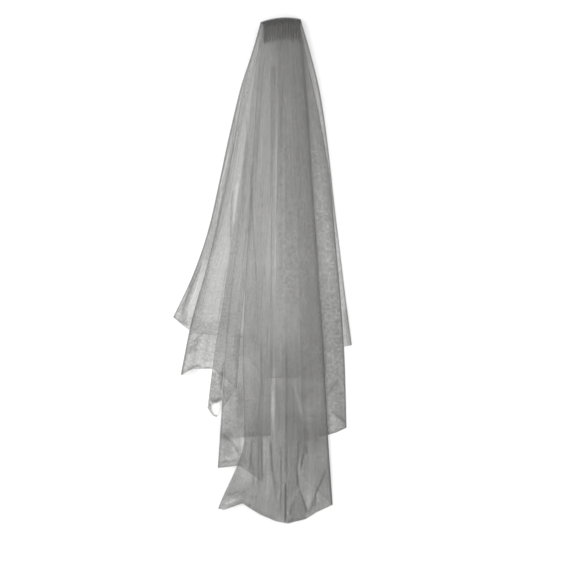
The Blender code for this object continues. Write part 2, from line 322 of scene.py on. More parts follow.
streak = {
    "strength": (0.6, 0.4),  # the middle strength of a line, and how much it swells
    "swell": (4, 2),  # how fast it swells down the cloth
    "sway": 1.5,
    "swayRate": 5,
}


def streaks(rng, share, drop, low, high, count):
    # uneven lines down the cloth, from -1 to 1 or so
    total = np.zeros_like(share)
    middle, change = streak["strength"]
    slowest, faster = streak["swell"]
    for _ in range(count):
        waves = rng.uniform(low, high)
        phase, drift, beat, turn = rng.uniform(0, 2 * np.pi, 4)
        strength = middle + change * np.sin(drop * (slowest + faster * beat) + turn)
        sway = streak["sway"] * np.sin(drop * streak["swayRate"] + drift)
        total += strength * np.sin(2 * np.pi * waves * share + phase + sway)
    return total / np.sqrt(count)


def foldReturn(tier, before, after):
    # where the stretch before a fold ends, and the columns that turn round the fold
    start, line = before[1], before[2]
    side = 1 if line["across"][4] > start["across"][4] else -1
    drop = rowDrops(tier, line["hemDrop"])
    x = lineX(line, drop)
    radius = np.full_like(x, layerPitch / 2)
    for _ in range(3):
        zBefore = layerHeight(before[0]["level"], x - side * radius, drop)
        zAfter = layerHeight(after[0]["level"], x - side * radius, drop)
        radius = np.abs(zAfter - zBefore) / 2
    endX = x - side * radius
    columns = []
    for step in range(1, net["returnSteps"]):
        turn = np.pi * step / net["returnSteps"]
        z = (zBefore + zAfter) / 2 + (zBefore - zAfter) / 2 * np.cos(turn)
        columns.append((endX + side * radius * np.sin(turn), drop, z))
    return endX, columns


def tierGrid(tier):
    # points [column, row] of the whole tier, in order along its cut edge
    rng = np.random.default_rng(tier["seed"])
    pieces = placed(tier)
    returns = [foldReturn(tier, a, b) for a, b in zip(pieces, pieces[1:])]
    first, last = pieces[0][1], pieces[-1][2]
    ends = [lineX(first, rowDrops(tier, first["hemDrop"]))]
    ends += [endX for endX, _ in returns]
    ends.append(lineX(last, rowDrops(tier, last["hemDrop"])))
    parts = []
    for i, (piece, start, end) in enumerate(pieces):
        share = np.linspace(0, 1, piece["columns"] + 1)
        hem = hemDropAt(piece, start, end, share)
        drop = np.array([rowDrops(tier, h) for h in hem])
        shares = np.repeat(share[:, None], drop.shape[1], axis=1)
        x = ends[i] * (1 - shares) + ends[i + 1] * shares
        inside = np.minimum(shares, 1 - shares)
        z = layerHeight(piece["level"], x, drop)
        if piece["ridges"]:
            drift = net["ridgeDrift"] / piece["ridges"]
            warped = shares + drift * streaks(rng, shares, drop, *net["driftWaves"])
            wave = 0.5 - 0.5 * np.cos(2 * np.pi * piece["ridges"] * warped)
            middle, change, least = net["ridgeUneven"]
            heights = middle + change * streaks(rng, shares, drop, *net["unevenWaves"])
            uneven = np.clip(heights, least, 1)
            room = ridgeRoom(piece, drop)
            z = z + room * wave * uneven * np.clip(inside / ridgeEdge, 0, 1)
        fewest, most = (times * piece["waves"] for times in net["fineWaves"])
        fine = np.clip(streaks(rng, shares, drop, fewest, most, 4), -1, 1)
        z = z + net["fineHeight"] * fine * np.clip(inside / net["fineEdge"], 0, 1)
        base = np.interp(drop / veilLength, layerDrops, piece["layers"])
        low, high = net["streakWaves"]
        lines = streaks(rng, shares, drop, low, high * piece["waves"], 7)
        vary = np.clip(1 + net["streaks"] * lines, *net["streakLimits"])
        width = np.abs(ends[i + 1] - ends[i])
        fold = pressAt(start, drop) * np.exp(-shares * width / net["foldWidth"])
        fold += pressAt(end, drop) * np.exp(-(1 - shares) * width / net["foldWidth"])
        band = np.zeros_like(fold)
        for side, reach, extra in bands.get(piece["name"], []):
            near = shares if side == "start" else 1 - shares
            more = np.interp(drop / veilLength, bandDrops, extra)
            band += more * fade(near * width, 0, reach * mm)
        rolled = np.clip(piece["layers"][-1] / net["hemLayers"], *net["hemLimits"])
        rolled = net["hemLine"] * rolled
        hemLine = rolled * np.exp(-(hem[:, None] - drop) / net["hemWidth"])
        layers = base * vary + fold + band + hemLine
        parts.append(dict(x=x, drop=drop, z=z, share=shares, piece=np.full(x.shape, i),
                          layers=layers, deep=fold + hemLine))
        if i < len(returns):
            x, drop, z = (np.array(rows) for rows in zip(*returns[i][1]))
            base = np.interp(drop / veilLength, layerDrops, piece["layers"])
            pressed = pressAt(end, drop)
            parts.append(dict(x=x, drop=drop, z=z, share=np.ones_like(x),
                              piece=np.full(x.shape, i), layers=base + pressed, deep=pressed))
    return {key: np.concatenate([part[key] for part in parts]) for key in parts[0]}


def pathDistance(x, drop, points):
    # distance to a line of points, and how far along it the nearest place is, from 0 to 1
    lengths = np.linalg.norm(np.diff(points, axis=0), axis=1)
    total, run = lengths.sum(), 0.0
    best, along = np.full(x.shape, np.inf), np.zeros(x.shape)
    for (ax, ay), (bx, by), length in zip(points, points[1:], lengths):
        t = ((x - ax) * (bx - ax) + (drop - ay) * (by - ay)) / length**2
        t = np.clip(t, 0, 1)
        distance = np.hypot(x - ax - t * (bx - ax), drop - ay - t * (by - ay))
        near = distance < best
        best = np.where(near, distance, best)
        along = np.where(near, (run + t * length) / total, along)
        run += length
    return best, along


# the net lies thicker beside some outer folds: which side of the stretch, how far in, in mm,
# and how many layers more at bandDrops
bandDrops = (0.0, 0.15, 0.45, 0.60)
bands = {
    "left_panel": [
        ("start", 3.5, (10, 8, 3, 0.5)),
        ("start", 24, (3, 3, 2.5, 2)),
        ("start", 50, (0, 0, 1.5, 3.5)),
    ],
    "right_panel": [
        ("end", 18, (6, 4, 4, 8)),
        ("end", 5, (14, 16, 5, 5)),
    ],
}


# creases placed in each stretch: how wide one is in mm, how many layers of net it
# adds or takes away, how far it stands up in mm, and where it runs as (across, drop) in mm
creases = {
    "left_panel": [
        (1.7, 2.2, 0.8, (-55, 317), (-58, 368), (-59, 420)),
        (2.1, 1.2, 0.5, (-35, 308), (-36, 349), (-37, 392)),
        (2.2, 1.4, 0.5, (-18, 265), (-21, 312), (-21, 349), (-23, 400)),
        (2.1, -1.2, -0.4, (-13, 256), (-16, 302), (-16, 349), (-12, 411)),
        (2.4, -1.3, -0.4, (-46, 302), (-50, 340), (-54, 387)),
        (1.7, -1, -0.4, (-22, 443), (-24, 508)),
        (1.7, 1, 0.4, (-29, 181), (-29, 246), (-33, 288)),
        (1.5, 1, 0.4, (-5, 68), (-4, 104), (-5, 144)),
        (1.5, -0.9, -0.4, (16, 60), (15, 106), (17, 175)),
        (1.5, -0.8, -0.3, (-3, 190), (-1, 246), (-3, 302)),
        (1.9, 0.9, 0.4, (-76, 349), (-85, 396), (-92, 443)),
        (1.5, -1.1, -0.3, (-76, 321), (-81, 353), (-87, 381)),
        (1.7, 1.2, 0.5, (-66, 456), (-74, 508), (-82, 560)),
        (1.3, 1.6, 0.5, (-50, 172), (-57, 246), (-66, 293), (-76, 340), (-87, 387)),
        (1.1, -1.2, -0.3, (-46, 209), (-52, 246), (-61, 284)),
        (1.1, -1.4, -0.3, (-62, 246), (-72, 288), (-80, 321)),
        (2.2, 1.2, 0.4, (-31, 228), (-34, 265), (-36, 312)),
        (1.3, 1.6, 0.5, (-22, 274), (-20, 340), (-16, 415), (-10, 508)),
        (1.4, 1.8, 0.5, (-113, 456), (-135, 508), (-158, 552)),
        (1.5, -1.2, -0.3, (-106, 440), (-126, 510), (-146, 558)),
        (1.3, 2.6, 0.6, (-169, 554), (-160, 563), (-150, 569), (-139, 573)),
        (1.8, 1.5, 0.4, (-133, 494), (-143, 528), (-152, 554)),
        (1.4, -0.9, -0.2, (-147, 508), (-156, 530), (-163, 549)),
    ],
    "right_panel": [
        (1.5, 3.2, 0.5,
         (72, 18), (78, 93), (84, 163), (88, 248), (93, 338), (101, 438), (106, 528),
         (109, 598)),
        (1.7, 1.3, 0.5, (-12, 456), (-10, 527), (-10, 583)),
        (1.7, 1.3, 0.5, (5, 456), (6, 527), (5, 586)),
        (1.7, 1.6, 0.6, (18, 508), (20, 564), (19, 620)),
        (1.9, 1.6, 0.6, (43, 553), (45, 611)),
        (3, 1.3, 0.6, (37, 115), (35, 181), (37, 250)),
        (1.9, 1.2, 0.4, (46, 299), (44, 351)),
        (3, -1.3, -0.4, (44, 138), (47, 190), (48, 250)),
        (2.1, -1.3, -0.4, (39, 265), (37, 306), (34, 366)),
        (2.2, -1.1, -0.4, (30, 437), (31, 499), (35, 553)),
        (1.7, -0.9, -0.3, (10, 448), (13, 499), (15, 536)),
        (3, -0.9, -0.3, (51, 400), (53, 456), (53, 527)),
        (1.3, 0.8, 0.3, (30, 381), (31, 415)),
        (1.5, -0.9, -0.3, (39, 557), (38, 611)),
        (1.5, 0.8, 0.3, (-3, 302), (-1, 368), (-3, 415)),
    ],
    "centre_back": [
        (2.2, 2.4, 0.8, (44, 601), (45, 657), (44, 769), (44, 870)),
        (1.5, 7, 1, (43, 867), (43, 900), (43, 943)),
        (1.6, 3.2, 0.6, (-19, 783), (-22, 820), (-24, 848)),
        (1.6, 3.4, 0.6, (-2, 783), (-1, 830), (0, 865)),
        (1.7, 1.8, 0.7, (14, 786), (18, 845), (26, 902)),
        (1.4, 2.2, 0.5, (34, 798), (35, 870), (33, 930)),
        (1.4, -0.8, -0.3, (48, 790), (50, 864)),
        (1.5, 1.3, 0.4, (68, 790), (63, 845), (66, 880)),
        (1.4, 2.6, 0.5, (76, 812), (72, 842)),
        (1.4, 1.4, 0.4, (117, 845), (107, 872), (100, 885)),
        (1.3, 1.2, 0.4, (-66, 892), (-47, 886), (-32, 884)),
        (1.4, 1, 0.4, (30, 690), (31, 730), (30, 775)),
        (1.5, 1, 0.4, (57, 690), (59, 730), (57, 790)),
        (1.9, 2, 0.8, (-3, 601), (-2, 685), (-7, 736), (-9, 777)),
        (1.7, 2, 0.7, (-7, 777), (-7, 835), (-7, 882)),
        (2.2, -0.8, -0.4, (5, 781), (4, 816), (0, 863), (-1, 895)),
        (1.9, -0.7, -0.4, (10, 788), (10, 835), (9, 895)),
        (1.5, 1.4, 0.5, (15, 788), (18, 835), (27, 885)),
        (1.9, -0.3, -0.3, (17, 807), (21, 844), (25, 900)),
        (1.9, 1.8, 0.6, (-31, 788), (-35, 822), (-29, 840)),
        (2.1, 1.6, 0.6, (-23, 816), (-16, 854), (-19, 882)),
        (1.3, 2, 0.6, (-23, 895), (-8, 894)),
        (2.2, -1.3, 0.6, (-78, 910), (-57, 902), (-36, 896)),
        (1.3, 0.9, 0.8, (-76, 915), (-55, 911), (-38, 903), (-30, 905)),
        (1.7, 2.6, 0.8, (-31, 906), (-21, 915), (-8, 923), (7, 930), (25, 938)),
        (1.9, -1, -0.3, (41, 872), (33, 882), (28, 900)),
        (1.3, -1.4, -0.2, (47, 919), (47, 932)),
        (1.7, 2, 0.6, (64, 844), (66, 863), (69, 880)),
        (1.5, 3.4, 0.9, (69, 880), (76, 900), (83, 925)),
        (1.5, -1.1, -0.3, (65, 882), (60, 895), (53, 908)),
        (1.5, 1.8, 0.5, (62, 889), (55, 910), (51, 930)),
        (1.3, 2.2, 0.6, (106, 872), (97, 897), (91, 915), (83, 926)),
        (1.3, 1.8, 0.5, (99, 882), (100, 900), (94, 915)),
        (2.2, -1, -0.3, (103, 887), (104, 906)),
        (1.5, 1.8, 0.5, (119, 844), (111, 863), (106, 874)),
        (1.7, 2.4, 0.6, (46, 940), (64, 939), (83, 935)),
        (1.5, 2.4, 0.6, (78, 799), (76, 822), (72, 837)),
        (1.5, 2.6, 0.6, (82, 799), (82, 816)),
        (1.9, -0.9, -0.3, (73, 811), (68, 840), (71, 859)),
        (1.5, 1.6, 0.4, (94, 789), (109, 788)),
        (2.8, -0.6, -0.3, (57, 672), (63, 704), (70, 732), (85, 764), (92, 784)),
        (1.7, 1.6, 0.4, (68, 698), (73, 710), (78, 704)),
        (1.5, 1.6, 0.5, (17, 611), (18, 657), (17, 682)),
        (3.4, -0.8, -0.4, (34, 601), (34, 672)),
        (2.8, 1.2, 0.4, (83, 650), (76, 661), (81, 672)),
    ],
    "left_flap": [
        (1.5, 4, 1,
         (-143, 659), (-130, 652), (-119, 649), (-114, 656), (-106, 654), (-94, 652)),
        (2.2, 2, 0.6, (-141, 628), (-128, 613), (-115, 599)),
        (1.9, 1.5, 0.5, (-130, 607), (-120, 596), (-107, 585)),
        (2.2, -1.4, -0.3, (-137, 626), (-142, 644), (-147, 657)),
        (1.7, 1.2, 0.4, (-117, 635), (-104, 641), (-92, 637)),
    ],
    "left_under_flap": [
        (1.7, 5, 1, (-78, 712), (-87, 716), (-95, 718), (-100, 727)),
        (1.5, 1.6, 0.8, (-100, 723), (-98, 734), (-92, 743), (-83, 746)),
        (1.5, -0.5, -0.3, (-85, 661), (-86, 682), (-85, 698)),
        (1.3, 2, 0.5, (-73, 642), (-77, 672), (-76, 698)),
    ],
    "middle_flap": [
        (1.7, 2.4, 0.8, (-74, 775), (-68, 785), (-61, 789), (-51, 801), (-42, 818)),
        (1.7, 2, 0.6, (-81, 830), (-64, 830), (-48, 827)),
        (1.9, -0.5, -0.3, (-75, 788), (-75, 822)),
        (1.5, 2.6, 0.7, (-40, 779), (-10, 778), (16, 778)),
    ],
    "middle_flap_back": [
        (1.5, 2.6, 0.7, (-40, 779), (-10, 778), (16, 778)),
    ],
    "right_flap": [
        (1.7, 3, 0.8, (128, 734), (137, 741), (147, 748), (156, 756)),
        (2.4, 1.8, 0.6, (121, 706), (131, 689), (140, 678)),
        (1.5, -1, -0.3, (120, 713), (135, 700)),
    ],
}


roundSlits = "centre_back middle_flap middle_flap_back left_flap centre_left_return"

# places where the net lies thinner or thicker: in which stretches, its layers are times
# this, plus that, with an edge so soft in mm, and the outline as (across, drop) in mm
patches = [
    ("left_panel left_flap left_flap_back", 0.8, 0, 7.5,
     (-21, 54), (-29, 113), (-40, 172), (-46, 228), (-55, 274), (-63, 321), (-76, 355),
     (-85, 392), (-92, 433), (-98, 471), (-109, 527), (-115, 568), (-91, 568), (-81, 555),
     (-74, 517), (-68, 471), (-64, 433), (-63, 368), (-50, 359), (-44, 331), (-40, 293),
     (-31, 246), (-25, 181), (-18, 124), (-16, 57)),
    ("right_panel", 1, 1.8, 9.3,
     (64, 34), (55, 76), (53, 209), (57, 302), (64, 396), (72, 489), (72, 611), (113, 611),
     (104, 489), (94, 359), (85, 246), (81, 134), (79, 72), (74, 31)),
    ("right_panel right_flap right_flap_back", 0.85, 0, 2.2,
     (77, 13), (85, 51), (92, 96), (99, 138), (106, 175), (114, 213), (120, 250),
     (124, 288), (126, 288), (122, 250), (117, 213), (110, 175), (104, 138), (98, 95),
     (90, 49), (79, 12)),
    ("left_flap left_flap_back", 1, 0.4, 7.5,
     (-106, 585), (-88, 585), (-91, 620), (-92, 642), (-111, 642), (-117, 620)),
    # inside the thin loop on the left
    ("left_under_flap left_flap left_flap_back", 0.25, 0, 2.2,
     (-78, 717), (-91, 719), (-95, 725), (-94, 734), (-89, 741), (-78, 743)),
    # two thin light slits between the folds
    (roundSlits, 0.6, 0, 1.9,
     (-43, 758), (-40, 771), (-34, 777), (-34, 798), (-36, 811), (-39, 818), (-41, 798),
     (-44, 773)),
    (roundSlits, 0.4, 0, 1.9,
     (19, 692), (21, 713), (22, 732), (21, 750), (20, 776), (19, 776), (18, 755),
     (16, 732), (18, 706)),
    ("centre_back", 0.88, 0, 5.6,
     (-20, 844), (-31, 840), (-46, 863), (-63, 891), (-42, 891), (-27, 872)),
    # the light and the dark triangle in the pointed hem
    ("centre_back", 0.72, 0, 2.8, (72, 885), (94, 887), (87, 921), (81, 911)),
    ("centre_back", 1, 3.5, 2.2,
     (68, 882), (83, 925), (81, 934), (55, 939), (51, 923), (61, 897)),
    ("centre_back", 1, 4.2, 5.6,
     (46, 685), (57, 685), (70, 736), (91, 788), (76, 803), (63, 844), (66, 878),
     (46, 900)),
    ("right_flap right_flap_back centre_right_return", 0.1, 0, 110,
     (-60, 743), (60, 733), (95, 723), (105, 758), (105, 988), (-60, 988)),
    ("centre_left_return", 0.15, 0, 60, (-90, 848), (20, 808), (60, 948), (-90, 948)),
    ("centre_back", 1, 4.5, 3.5, (15, 88), (25, 88), (24, 655), (15, 655)),
    ("middle_flap middle_flap_back", 1, 1.6, 4.0,
     (-50, 590), (-36, 590), (-36, 745), (-50, 745)),
    ("centre_back", 0.66, 0, 26,
     (-50, 620), (4, 620), (-4, 775), (-12, 872), (-40, 872), (-60, 775)),
    ("centre_back right_flap right_flap_back centre_right_return", 0.78, 0, 14,
     (24, 673), (120, 673), (124, 738), (26, 738)),
    ("right_flap_back", 0.25, 0, 44, (20, 40), (86, 40), (110, 690), (20, 690)),
    ("centre_right_return right_flap", 0.5, 0, 30,
     (0, 40), (33, 60), (35, 690), (0, 690)),
    ("centre_back", 1, 1.3, 3,
     (23, 674), (31, 674), (31, 846), (15, 846), (15, 778), (23, 774)),
    ("left_panel", 1, 1.5, 5, (-150, 546), (-132, 556), (-132, 590), (-150, 584)),
    ("centre_back right_flap", 0.86, 0, 14, (86, 706), (118, 706), (122, 770), (92, 775)),
    ("centre_back", 0.7, 0, 5, (-85, 914), (-66, 890), (-48, 900), (-74, 922)),
    # the light wedge beside the left edge, and the edge bowing out to its corner
    ("left_panel left_turned_edge", 0.68, 0, 3,
     (-105, 448), (-119, 480), (-130, 508), (-137, 532), (-143, 566), (-134, 560),
     (-128, 536), (-119, 508), (-111, 484), (-104, 456)),
    ("left_panel left_turned_edge", 0.5, 0, 3,
     (-139, 498), (-150, 520), (-174, 556), (-158, 566), (-147, 536), (-134, 504)),
    ("middle_flap_back", 0.08, 0, 2.5,
     (-95, 787), (-76, 786), (20, 779), (20, 900), (-95, 900)),
    ("middle_flap", 2.2, 0, 6, (-86, 786), (-38, 782), (-38, 850), (-90, 850)),
    ("middle_flap", 1, 2.6, 12,
     (-95, 695), (-60, 685), (-38, 685), (-36, 784), (-92, 790)),
    ("middle_flap", 1, 3.2, 10, (-95, 776), (-60, 776), (-58, 815), (-95, 822)),
    ("middle_flap", 0.75, 0, 10, (-36, 786), (15, 784), (15, 880), (-36, 850)),
    ("centre_back", 0.92, 0, 2.5, (-1, 781), (12, 781), (14, 895), (4, 895)),
    ("left_flap left_flap_back", 1, 0.7, 10,
     (-136, 600), (-118, 600), (-124, 665), (-152, 668)),
    ("right_panel", 1, 3, 5, (151, 545), (170, 545), (170, 620), (152, 620)),
    ("left_under_flap", 1, 1.5, 7,
     (-30, 200), (-50, 370), (-84, 560), (-104, 664), (-76, 664), (-62, 560), (-42, 400),
     (-24, 250)),
    ("centre_back", 1, 2.5, 10, (62, 745), (122, 770), (122, 800), (80, 812), (66, 800)),
    ("centre_right_return", 0.35, 0, 30,
     (60, 840), (110, 865), (150, 890), (150, 930), (60, 930)),
    ("left_under_flap", 1, 5, 8, (-100, 662), (-74, 662), (-76, 714), (-100, 718)),
    ("right_flap right_flap_back", 0.8, 0, 2.2,
     (128, 738), (137, 744), (147, 751), (155, 758), (152, 766), (126, 778)),
]


def insideOutline(x, drop, points):
    inside = np.zeros(x.shape, dtype=bool)
    for (ax, ay), (bx, by) in zip(points, np.roll(points, -1, axis=0)):
        crosses = (ay > drop) != (by > drop)
        slope = (bx - ax) / (by - ay) if by != ay else 0.0
        inside ^= crosses & (x < ax + slope * (drop - ay))
    return inside


def addCreases(tier, grid):
    names = [s["name"] for s in tier["stretches"]]
    grid["lift"] = np.zeros_like(grid["x"])
    for stretches, times, plus, soft, *points in patches:
        outline = np.array(points) * mm
        for name in stretches.split():
            if name not in names:
                continue
            here = grid["piece"] == names.index(name)
            x, drop = grid["x"][here], grid["drop"][here]
            distance, _ = pathDistance(x, drop, np.concatenate([outline, outline[:1]]))
            signed = np.where(insideOutline(x, drop, outline), distance, -distance)
            weight = 1 - fade(signed + soft / 2 * mm, 0, soft * mm)
            layers = grid["layers"][here] * (1 + (times - 1) * weight)
            grid["layers"][here] = layers + plus * weight
    for i, name in enumerate(names):
        here = grid["piece"] == i
        x, drop = grid["x"][here], grid["drop"][here]
        for width, layers, lift, *points in creases.get(name, []):
            distance, along = pathDistance(x, drop, np.array(points) * mm)
            ends = np.clip(np.minimum(along, 1 - along) / net["creaseEnd"], 0, 1)
            shape = np.exp(-((distance / (width * mm)) ** 2)) * ends
            # in thick net a crease gathers more of it
            pile = 1 + grid["layers"][here] / net["creasePile"]
            strength = net["creases"] * layers * pile
            grid["layers"][here] += strength * shape
            grid["deep"][here] += np.clip(strength, 0, None) * shape
            grid["lift"][here] += lift * mm * shape
    grid["z"] += np.clip(grid["lift"], *net["creaseLift"])
    grid["layers"] = np.clip(grid["layers"], *net["layerLimits"])


# the net's uneven look: clouds, a fine grain, and beats where flat meshes cross
mottle = {
    "cloud": 0.5,
    "cloudScale": 60,
    "cloudDetail": 4,
    "grain": 1.5,
    "grainScale": 240,
    "grainDetail": 2,
    "grainTwist": 0.6,
    "beats": 2.2,
    "beatScale": 250,
    "beatDetail": 1,
    "beatTwist": 2.5,
    "beatsOn": ("right_flap", "right_flap_back"),
    "beatsBeside": "centre_right_fold",  # they show to the right of this line only
    "beatsSideFade": 6 * mm,
    "beatsFrom": 250 * mm,
    "beatsTo": 625 * mm,
    "beatsFade": 60 * mm,
}


def flatMesh(tier, grid):
    # 1 where flat layers of mesh beat together, 0 elsewhere
    names = [s["name"] for s in tier["stretches"]]
    here = np.isin(grid["piece"], [names.index(n) for n in mottle["beatsOn"] if n in names])
    beside = next(row for row in longTier["lines"] if row["name"] == mottle["beatsBeside"])
    drop = grid["drop"]
    past = np.clip((grid["x"] - lineX(beside, drop)) / mottle["beatsSideFade"], 0, 1)
    inside = np.minimum(drop - mottle["beatsFrom"], mottle["beatsTo"] - drop)
    return here * past * np.clip(inside / mottle["beatsFade"], 0, 1)


# the net's colour: darker towards the binding, with painted shade over the comb, in hard folds
# and where the net lies thick
shade = {
    "atBinding": 0.9,
    "bindingFade": 0.05,  # of the veil's length
    # painted shade: how bright the net is where the comb's shadow falls, with its teeth as
    # stripes
    "combShadow": 0.72,
    "combArc": 0.2,  # how far the comb's shade follows the arc of the gathers
    "combFade": 3 * mm,
    "combSide": 2 * mm,
    "combTeeth": 0.15,
    "lines": 0.03,
    "lineWaves": (10, 40, 5),
    "foldDark": 0.3,  # how much of its light the net loses in a hard fold
    "foldLayers": 9,
    "thick": 0.5,  # how bright very thick net is
    "thickLayers": 10,
}


def shadeAndToneOf(tier, grid):
    rng = np.random.default_rng(tier["seed"] + 1)
    x, drop = grid["x"], grid["drop"]
    tone = np.interp(drop / veilLength, (0, shade["bindingFade"]), (shade["atBinding"], 1))
    # painted shade over the comb: the comb's shadow and the dark comb under the net, striped
    # where its teeth lie
    reach = comb["length"] + shade["combArc"] * gatherArc(x)
    below = fade(drop, reach - shade["combFade"], 2 * shade["combFade"])
    side = comb["width"] / 2 - shade["combSide"]
    beside = fade(np.abs(x - comb["middle"]), side, 2 * shade["combSide"])
    teeth = 0.5 + 0.5 * np.cos(2 * np.pi * x / (comb["width"] / comb["teeth"]))
    over = below * beside * (1 - shade["combTeeth"] * teeth)
    lines = 1 + shade["lines"] * streaks(rng, grid["share"], drop, *shade["lineWaves"])
    # painted shade in hard folds, creases and rolled hems
    deep = 1 - np.exp(-np.clip(grid["deep"], 0, None) / shade["foldLayers"])
    # net lying thick sends back less light, like a stack of thin nets
    thin = np.exp(-grid["layers"] / shade["thickLayers"])
    thick = shade["thick"] + (1 - shade["thick"]) * thin
    dark = (1 - shade["foldDark"] * deep) * (1 - (1 - shade["combShadow"]) * over)
    return tone * lines * thick * dark


def makeMesh(name, points, faces):
    mesh = bpy.data.meshes.new(name)
    mesh.from_pydata([tuple(p) for p in points], [], faces)
    mesh.validate()
    mesh.shade_smooth()
    piece = bpy.data.objects.new(name, mesh)
    bpy.context.scene.collection.objects.link(piece)
    return piece


def makeTier(tier, material):
    grid = tierGrid(tier)
    addCreases(tier, grid)
    x, drop, z = grid["x"], grid["drop"], grid["z"]
    y = topY - drop - (clothStart + gatherArc(x)) * fade(drop, 0, arcFade)
    columns, rows = x.shape
    index = np.arange(columns * rows).reshape(columns, rows)
    corners = [index[:-1, :-1], index[1:, :-1], index[1:, 1:], index[:-1, 1:]]
    faces = np.stack([c.ravel() for c in corners], axis=1)
    points = np.stack([x, y, z], axis=-1).reshape(-1, 3)
    piece = makeMesh(tier["name"], points, faces.tolist())
    mesh = piece.data
    # steep net hides more of what is behind it, seen from above
    normals = np.zeros(columns * rows * 3)
    mesh.vertex_normals.foreach_get("vector", normals)
    upright = np.abs(normals.reshape(-1, 3)[:, 2]).reshape(x.shape)
    across = np.linspace(0, tier["cut"][0], columns)
    uv = np.stack([np.repeat(across, rows), drop.ravel()], axis=-1)
    layer = mesh.uv_layers.new(name="cloth")
    loops = np.zeros(len(mesh.loops), dtype=int)
    mesh.loops.foreach_get("vertex_index", loops)
    layer.data.foreach_set("uv", uv[loops].ravel())
    values = {
        "layers": grid["layers"] / np.clip(upright, net["steepest"], 1),
        # the net's own tone, with the painted shade of the comb, folds and thick net in it
        "tone": shadeAndToneOf(tier, grid),
        "flat": flatMesh(tier, grid),
    }
    for key, value in values.items():
        attribute = mesh.attributes.new(key, "FLOAT", "POINT")
        attribute.data.foreach_set("value", value.ravel().astype(np.float32))
    mesh.materials.append(material)
    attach(piece, "root")
    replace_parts(piece, tier["node"])
    area = sum(p.area for p in mesh.polygons)
    print(tier["name"], len(mesh.polygons) * 2, "triangles, area", round(area, 3))
    return piece


def setInputs(node, **values):
    for name, value in values.items():
        node.inputs[name.replace("_", " ")].default_value = value


def nodeTree(name):
    material = bpy.data.materials.new(name)
    material.use_nodes = True
    nodes, links = material.node_tree.nodes, material.node_tree.links
    shader = nodes["Principled BSDF"]

    def add(kind, **values):
        node = nodes.new(kind)
        for key, value in values.items():
            setattr(node, key, value)
        return node

    def math(operation, a, b=0.0, c=0.0):
        node = add("ShaderNodeMath", operation=operation)
        for socket, value in zip(node.inputs, (a, b, c)):
            if isinstance(value, (int, float)):
                socket.default_value = value
            else:
                links.new(value, socket)
        return node.outputs[0]

    def noise(place, scale, detail, twist=0.0, **values):
        node = add("ShaderNodeTexNoise", **values)
        links.new(place, node.inputs["Vector"])
        setInputs(node, Scale=scale, Detail=detail, Distortion=twist)
        return node.outputs["Fac"]

    def attribute(key):
        return add("ShaderNodeAttribute", attribute_name=key).outputs["Fac"]

    def tint(colour, strength):
        node = add("ShaderNodeVectorMath", operation="SCALE")
        node.inputs[0].default_value = colour
        links.new(strength, node.inputs["Scale"])
        links.new(node.outputs[0], shader.inputs["Base Color"])

    def bump(height, strength, depth):
        node = add("ShaderNodeBump")
        setInputs(node, Strength=strength, Distance=depth)
        links.new(height, node.inputs["Height"])
        links.new(node.outputs[0], shader.inputs["Normal"])

    return SimpleNamespace(
        material=material, shader=shader, link=links.new, add=add, math=math,
        noise=noise, attribute=attribute, tint=tint, bump=bump,
    )


weave = {
    "cell": 1.6 * mm,
    "rowShare": 0.866,  # how far apart the rows of cells are, of a cell's width
    "edges": (0.6, -0.9),  # where a cell's opening ends and where its thread is full
    "weights": (0.45, 1.75),  # how much net there is in an opening and on a thread
    "bump": 0.15,
    "bumpDepth": 0.2 * mm,
}


def netMaterial():
    tree = nodeTree("soft net")
    math = tree.math
    cloth = tree.add("ShaderNodeUVMap", uv_map="cloth").outputs[0]
    split = tree.add("ShaderNodeSeparateXYZ")
    tree.link(cloth, split.inputs[0])
    u, v = split.outputs[0], split.outputs[1]
    # six-sided cells: three cosines at 120 degrees add up to a honeycomb
    pitch = 2 * np.pi / (weave["cell"] * weave["rowShare"])
    waves = []
    for turn in (0, 120, 240):
        a = np.radians(turn)
        along = math("MULTIPLY_ADD", u, float(pitch * np.cos(a)), 0.0)
        both = math("MULTIPLY_ADD", v, float(pitch * np.sin(a)), along)
        waves.append(math("COSINE", both))
    honeycomb = math("ADD", math("ADD", waves[0], waves[1]), waves[2])
    thread = tree.add("ShaderNodeMapRange", interpolation_type="SMOOTHSTEP")
    tree.link(honeycomb, thread.inputs["Value"])
    opening, full = weave["edges"]
    least, most = weave["weights"]
    setInputs(thread, From_Min=opening, From_Max=full, To_Min=least, To_Max=most)
    cloud = tree.noise(
        cloth, mottle["cloudScale"], mottle["cloudDetail"], noise_dimensions="2D"
    )
    grain = tree.noise(
        cloth, mottle["grainScale"], mottle["grainDetail"], mottle["grainTwist"],
        noise_dimensions="2D",
    )
    beat = tree.noise(cloth, mottle["beatScale"], mottle["beatDetail"], mottle["beatTwist"])
    clouds = math("MULTIPLY", cloud, mottle["cloud"])
    uneven = math("MULTIPLY_ADD", grain, mottle["grain"], clouds)
    beats = math("MULTIPLY", math("SUBTRACT", beat, 0.5), mottle["beats"])
    uneven = math("MULTIPLY_ADD", beats, tree.attribute("flat"), uneven)
    woven = math("MULTIPLY", tree.attribute("layers"), thread.outputs[0])
    depth = math("MULTIPLY", woven, uneven)
    through = math("EXPONENT", math("MULTIPLY", depth, -net["layerDepth"]))
    tree.link(math("SUBTRACT", 1.0, through), tree.shader.inputs["Alpha"])
    # the net's grey, times its tone with the painted shade of the comb, folds and thick net
    tree.tint(net["colour"], tree.attribute("tone"))
    setInputs(tree.shader, Roughness=net["roughness"], Sheen_Weight=net["sheen"],
              Specular_IOR_Level=net["specular"])
    tree.bump(thread.outputs[0], weave["bump"], weave["bumpDepth"])
    return tree.material


